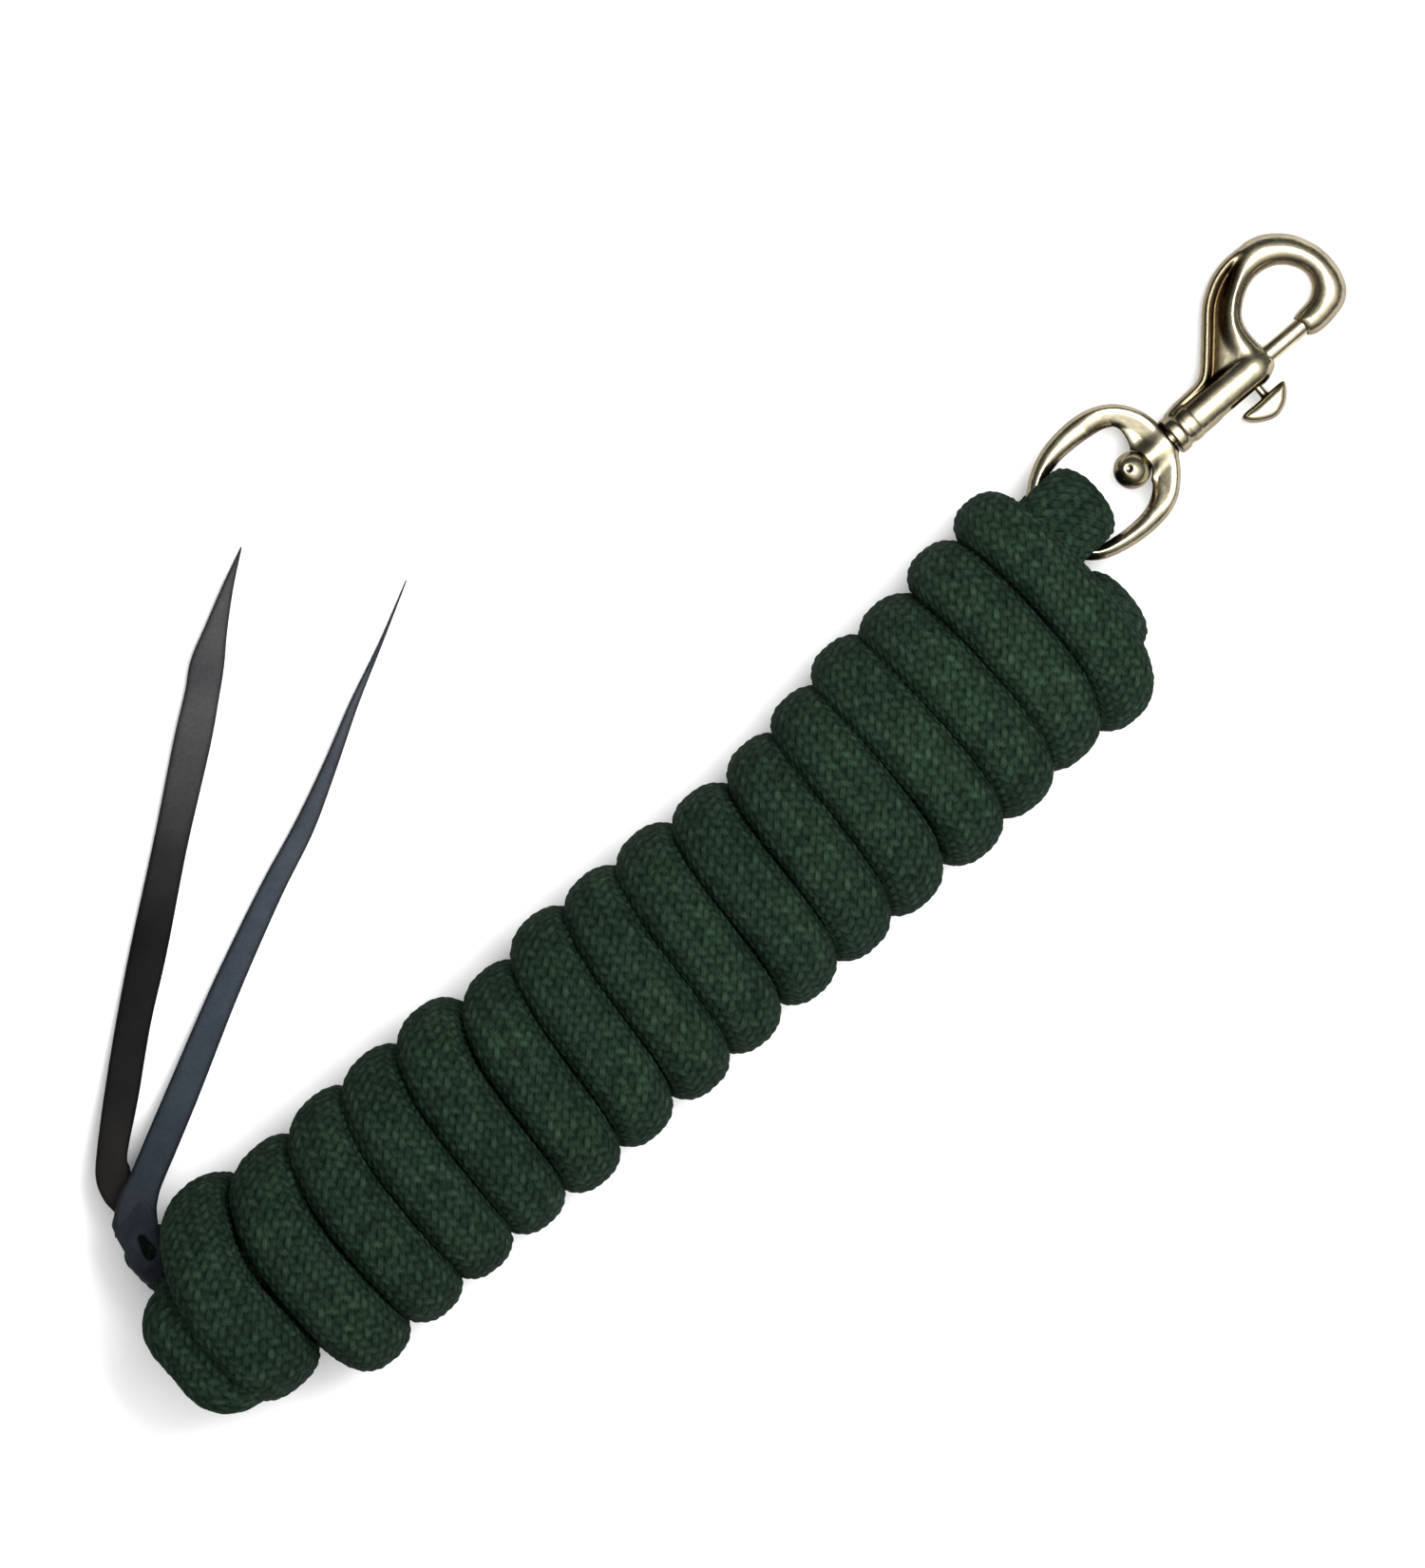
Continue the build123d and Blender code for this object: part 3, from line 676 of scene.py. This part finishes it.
def snap_shape(x, y, z):
    """The snap's body: flange, barrel, rib and hook as one casting, bored and slotted."""
    around = np.hypot(y, z)
    from_barrel = np.hypot(y - BARREL_Y, z) - BARREL_R
    taper = TAPER_ALONG * (x - TAPER_X) + TAPER_OUT * from_barrel
    barrel = meet(meet(from_barrel, np.abs(x - BARREL_X) - BARREL_HALF, soft=0.8), taper, soft=0.8)
    neck = meet(around - NECK_R, np.abs(x - NECK_X) - NECK_HALF, soft=0.3)
    flange = meet(around - FLANGE_R, np.abs(x - FLANGE_X) - FLANGE_HALF, soft=1.0)
    shape = join(join(barrel, neck, soft=1.0), flange, soft=0.5)
    # the rib is a raised lip, and a web that slopes up from it to the hook
    from_lip = to_line(x, y, LIP)
    shape = join(shape, np.hypot(from_lip, z * LIP_FLAT) - LIP_R, soft=0.5)
    web_half = WEB_HALF + WEB_SLOPE * np.clip(from_lip - WEB_START, 0, WEB_RUN)
    shape = join(shape, slab(to_outline(x, y, WEB), z, web_half, edge=0.5), soft=0.6)
    shape = join(shape, slab(to_outline(x, y, HOOK), z, HOOK_HALF, HOOK_EDGE), soft=1.0)
    past_ends = np.abs(x - (BORE_START + BORE_END) / 2) - (BORE_END - BORE_START) / 2
    shape = cut(shape, meet(around - BORE_R, past_ends, soft=0.2), soft=0.4)
    slot = np.hypot(x - np.clip(x, SLOT_BACK, SLOT_FRONT), z) - SLOT_HALF
    return cut(shape, np.maximum(slot, y), soft=0.4)


KNOB = through([
    (61.6, -9.2), (62.6, -11.1), (65.2, -13), (69.2, -14.5), (73.2, -13.4), (76, -11), (77.2, -8.8),
    (76.6, -7.9), (73.6, -7.9), (70.4, -8.0), (67, -8.1), (64, -8.0), (62.2, -8.3)
], closed=True, steps=3)


def knob_shape(x, y, z):
    """The thumb tab, a thick crescent, and the stem that is riveted into the bolt."""
    tab = slab(to_outline(x, y, KNOB), z, TAB_HALF, TAB_EDGE)
    stem = meet(np.hypot(x - SLOT_FRONT, z) - STEM_R, np.abs(y - STEM_Y) - STEM_HALF, soft=0.3)
    return join(tab, stem, soft=0.8)


BRASS = (0.43, 0.383, 0.262)     # dark, because the room above it is very bright
# the cast pieces carry painted shade: dark brown in their recesses and darker down their sides
brass = brass_material("brass_cast", BRASS, painted_recess_shade=(0.14, 0.10, 0.06), painted_side_shade=(0.30, 0.255, 0.19))
turned_brass = brass_material("brass_turned", BRASS, painted_recess_shade=(1, 1, 1), painted_side_shade=(1, 1, 1))
for name in ("snap_bolt", "bolt_spring"):
    nodes[name].material_slots[0].material = turned_brass
for name, shape, low, high, body, node, slot in (
        ("swivel_ring_cast", ring_shape, (-4, -18, -6), (44, 23, 6), "ring", "swivel_ring", "brass_ring"),
        ("snap_body_cast", snap_shape, (41, -7, -7), (111, 30, 7), "snap", "snap_body", "brass_body"),
        ("swivel_pin_turned", pin_shape, (22.5, -6, -6), (50.5, 6.5, 6), "snap", "swivel_pin", "brass_pin"),
        ("thumb_knob_cast", knob_shape, (60, -15.5, -5), (79, 0.5, 5), "bolt", "thumb_knob", "brass_knob")):
    piece = cast(name, shape, low, high, CAST_STEP, SNAP_ROWS, BAR)
    piece.data.materials.append(brass)
    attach(piece, body)
    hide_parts(node)

# ================================================================== popper
LEATHER = 2.6            # its thickness
FULL_FROM = 3            # a tail narrower than this is thinner too
CROWN, CROWN_FROM = 0.35, 6      # how far a tail bulges, on a tail of at least this width
BEVEL = 1.0              # how far in its cut edges are rounded
DARK_EDGE = 1.6          # how far in the darker dye of its cut edges goes
# Each tail of the leather, from the knot to its tip: its left and right edges
# about the hank's middle, and the height of its underside.
TAIL_A = [
    (-175.2, 44, -168, 44, 14), (-174.6, 47.7, -167.4, 47.8, 13), (-174.7, 52.4, -165.6, 51, 11.6),
    (-172.9, 58, -163.5, 54.6, 10), (-167.9, 63.7, -161.6, 58, 8.5), (-155.2, 75.4, -149.4, 67.9, 4),
    (-139.9, 88.4, -134.1, 80.8, 1.4), (-124, 101.1, -117.7, 93.1, 0.3), (-100.6, 118.8, -94.8, 111.3, 0.3),
    (-78.6, 136.1, -72.4, 127.9, 0.3), (-67.6, 144.2, -61.7, 136.6, 0.3), (-60.5, 149.9, -54.9, 142.4, 0.3),
    (-50.9, 154.7, -47.5, 149.6, 0.3), (-40.5, 159.8, -38.7, 157.3, 0.3), (-29.9, 164.6, -29.7, 164.3, 0.3)]
TAIL_B = [
    (-178.6, 42.6, -167, 38, 20), (-175.6, 46.8, -165.3, 40.6, 19), (-170.2, 50.8, -163.4, 42.6, 17.5),
    (-164, 53.4, -159.8, 45.2, 15), (-153.3, 58.9, -149.2, 50.7, 9), (-139.3, 65.9, -135.4, 57.9, 4.5),
    (-113.6, 78.5, -110.3, 71.4, 0.8), (-87.1, 90, -84.3, 84, 0.3), (-68.5, 97.1, -66.1, 91.8, 0.3),
    (-52.4, 104.1, -50.6, 100.4, 0.3), (-34.7, 112.7, -33.5, 110.5, 0.3), (-18.2, 119.9, -17.7, 118.9, 0.3),
    (-1.4, 128.1, -1.2, 127.8, 0.3)]
STRAP_STEPS, STRAP_ACROSS = 14, 12       # mesh steps to each gap above, and across


def strap(name, stations, tones):
    """A leather strap with rounded edges, from its base to its pointed tip."""
    rows = through(stations, steps=STRAP_STEPS)
    left, right = rows[:, :2], rows[:, 2:4]
    width = np.linalg.norm(right - left, axis=1)[:, None]
    share = 0.5 - 0.5 * np.cos(pi * np.arange(STRAP_ACROSS + 1) / STRAP_ACROSS)[None, :]
    inward = np.minimum(share, 1 - share) * width
    bevel = np.sqrt(1 - (1 - np.clip(inward / BEVEL, 0, 1)) ** 2)
    thick = LEATHER * np.clip(width / FULL_FROM, 0.25, 1)
    crown = CROWN * np.sin(pi * share) * np.clip(width / CROWN_FROM, 0, 1)
    flat = left[:, None, :] + (right - left)[:, None, :] * share[:, :, None]
    top = rows[:, 4:5] + thick * (0.5 + 0.5 * bevel) + crown
    under = rows[:, 4:5] + thick * (0.5 - 0.5 * bevel)
    loop = np.concatenate([np.dstack([flat, top]), np.dstack([flat, under])[:, -2:0:-1]], axis=1)
    loop = np.concatenate([loop[:1].mean(axis=1, keepdims=True).repeat(loop.shape[1], 1), loop], axis=0)
    many, size = loop.shape[:2]
    row, column = np.meshgrid(np.arange(many - 1), np.arange(size), indexing="ij")
    after = (column + 1) % size
    quads = np.stack([row * size + column, (row + 1) * size + column,
                      (row + 1) * size + after, row * size + after], axis=-1)
    made = mesh_of(name, (loop.reshape(-1, 3) + (HANK_X, HANK_Y, 0)) * MM, quads.reshape(-1, 4))
    edge = np.concatenate([inward, inward[:, -2:0:-1]], axis=1)
    edge = np.clip(np.concatenate([edge[:1], edge]) / DARK_EDGE, 0, 1)
    middle = loop.mean(axis=1)
    reached = np.concatenate([[0], np.cumsum(np.linalg.norm(np.diff(middle, axis=0), axis=1))])
    keep(made, strap_edge=edge, strap_along=(reached / reached[-1])[:, None] * np.ones(size))
    made.materials.append(leather_material(name + "_leather", tones))
    return add_object(name, made)


# The knot: the right tail goes on over the rope's tail and down its far side, and
# the left tail comes out through a slit in it. Its line runs in y and z, and its
# middle and half width are read along y.
BAND = through([
    (46, 18.5), (42.5, 21.5), (38, 23.8), (33.5, 23.6), (29.6, 20.5), (27.4, 15.5), (27, 9.5)], steps=4)
BAND_R, BAND_EDGE = 1.7, 1.6
KNOT_STEP = 0.4          # the knot's grid
BAND_AT = (26, 27.1, 30.5, 33.7, 38, 42.2, 45.7, 48)
BAND_MIDDLE = (-177, -176.8, -175.6, -174.8, -173, -171.9, -171.5, -171)
BAND_HALF = (2.4, 3.6, 5.0, 5.6, 6.0, 6.4, 5.8, 4.0)
# the slit: its middle line leans a little, and it opens like a drop
SLIT_X, SLIT_Y, SLIT_LEAN = -172.9, 38.8, 0.13
SLIT_ENDS, SLIT_FLOOR = (33.2, 37.8), 19
SLIT_HALF, SLIT_OPENS, SLIT_FROM, SLIT_RUN = 0.7, 0.25, 38, 4
# the raised lip: a ring round the slit, and how far it may stand off the band
LIPS_OUT, LIPS_Z, LIPS_R, LIPS_STAND = 2.2, 25, 1.1, 1.0


def knot_shape(x, y, z):
    """A folded band of leather over the rope's tail, with a slit that has raised lips."""
    wide = np.abs(x - np.interp(y, BAND_AT, BAND_MIDDLE)) - np.interp(y, BAND_AT, BAND_HALF) + BAND_EDGE
    thin = to_line(y, z, BAND) - BAND_R
    deep = thin + BAND_EDGE
    band = np.hypot(np.maximum(wide, 0), np.maximum(deep, 0)) - BAND_EDGE
    band = band + np.minimum(np.maximum(wide, deep), 0)
    from_slit = np.hypot(x - SLIT_X - SLIT_LEAN * (y - SLIT_Y), y - np.clip(y, *SLIT_ENDS))
    lips = meet(np.hypot(from_slit - LIPS_OUT, z - LIPS_Z) - LIPS_R, thin - LIPS_STAND, soft=0.8)
    open_by = SLIT_HALF + SLIT_OPENS * np.clip(SLIT_FROM - y, 0, SLIT_RUN)
    slit = np.maximum(from_slit - open_by, SLIT_FLOOR - z)
    return cut(join(band, lips, soft=2.0), slit, soft=1.0)


# the colour along each tail, from the knot to the tip: darker near the knot, lighter towards the tip
TONES_A = [(0.0, (0.0145, 0.0135, 0.012)), (0.2, (0.0068,) * 3), (0.42, (0.0053,) * 3),
           (0.55, (0.016, 0.0163, 0.017)), (0.7, (0.044, 0.044, 0.045)), (1.0, (0.050, 0.050, 0.051))]
TONES_B = [(0.0, (0.0155, 0.0195, 0.0245)), (0.2, (0.021, 0.028, 0.036)), (0.4, (0.031, 0.039, 0.050)),
           (1.0, (0.056, 0.060, 0.070))]
tail_a = strap("popper_tail_left", TAIL_A, TONES_A)
tail_b = strap("popper_tail_right", TAIL_B, TONES_B)
knot = cast("popper_knot", knot_shape, (-185, 22, 4), (-163, 52, 30), KNOT_STEP, np.eye(3),
            np.array([HANK_X, HANK_Y, 0]))
# painted shade: the knot's recesses, where cast_open is low, take the darker colour of the cut edges
keep(knot.data, strap_edge=np.array([v.value for v in knot.data.attributes["cast_open"].data]),
     strap_along=np.zeros(len(knot.data.vertices)))
knot.data.materials.append(leather_material("popper_knot_leather", TONES_B))
for piece in (tail_a, tail_b, knot):
    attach(piece, "rope")
    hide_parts("leather_popper")

# ================================================================== stage
FLOOR = 3.0              # metres, half a side
FLOOR_Z = -0.0003        # metres, just clear of what lies on it
floor_points = [(x * FLOOR, y * FLOOR, FLOOR_Z) for x, y in ((-1, -1), (1, -1), (1, 1), (-1, 1))]
floor = add_object("floor", mesh_of("floor", floor_points, [(0, 1, 2, 3)]))
floor_finish, floor_tree, floor_shader = material("floor_white")
floor_shader.inputs["Base Color"].default_value = (0.96, 0.96, 0.96, 1)
floor_shader.inputs["Roughness"].default_value = 0.95
floor_shader.inputs["Specular IOR Level"].default_value = 0.1
floor.data.materials.append(floor_finish)

# The room: a broad soft ceiling light that fades to a dark horizon, and leans a little.
LEAN_Y, LEAN_X = -0.2, 0.08
CEILING = [(0.0, 0.02), (0.5, 0.04), (0.68, 0.18), (0.85, 0.47), (0.97, 1.0)]
world = bpy.data.worlds.new("world")
world.use_nodes = True
sky = world.node_tree
direction = sky.nodes.new("ShaderNodeTexCoord")
split = sky.nodes.new("ShaderNodeSeparateXYZ")
sky.links.new(direction.outputs["Generated"], split.inputs["Vector"])
overhead = maths(sky, "MULTIPLY_ADD", split.outputs["Y"], LEAN_Y, split.outputs["Z"])
overhead = maths(sky, "MULTIPLY_ADD", split.outputs["X"], LEAN_X, overhead)
ceiling = ramp(sky, overhead, [(place, (grey,) * 3) for place, grey in CEILING])
sky.links.new(ceiling, sky.nodes["Background"].inputs["Color"])
sky.nodes["Background"].inputs["Strength"].default_value = 3.0
bpy.context.scene.world = world
bpy.context.scene.view_settings.view_transform = "Standard"


def area_light(name, place, size, power, target):
    """A rectangular softbox that faces its target."""
    lamp = bpy.data.lights.new(name, "AREA")
    lamp.shape = "RECTANGLE"
    lamp.size, lamp.size_y = size
    lamp.energy = power
    made = add_object(name, lamp)
    made.location = place
    made.rotation_mode = "QUATERNION"
    made.rotation_quaternion = (Vector(target) - Vector(place)).to_track_quat("-Z", "Y")
    made.visible_camera = False


area_light("softbox_over", place=(0.24, -0.07, 0.68), size=(0.4, 0.4), power=6.0, target=(0.2, -0.06, 0.02))
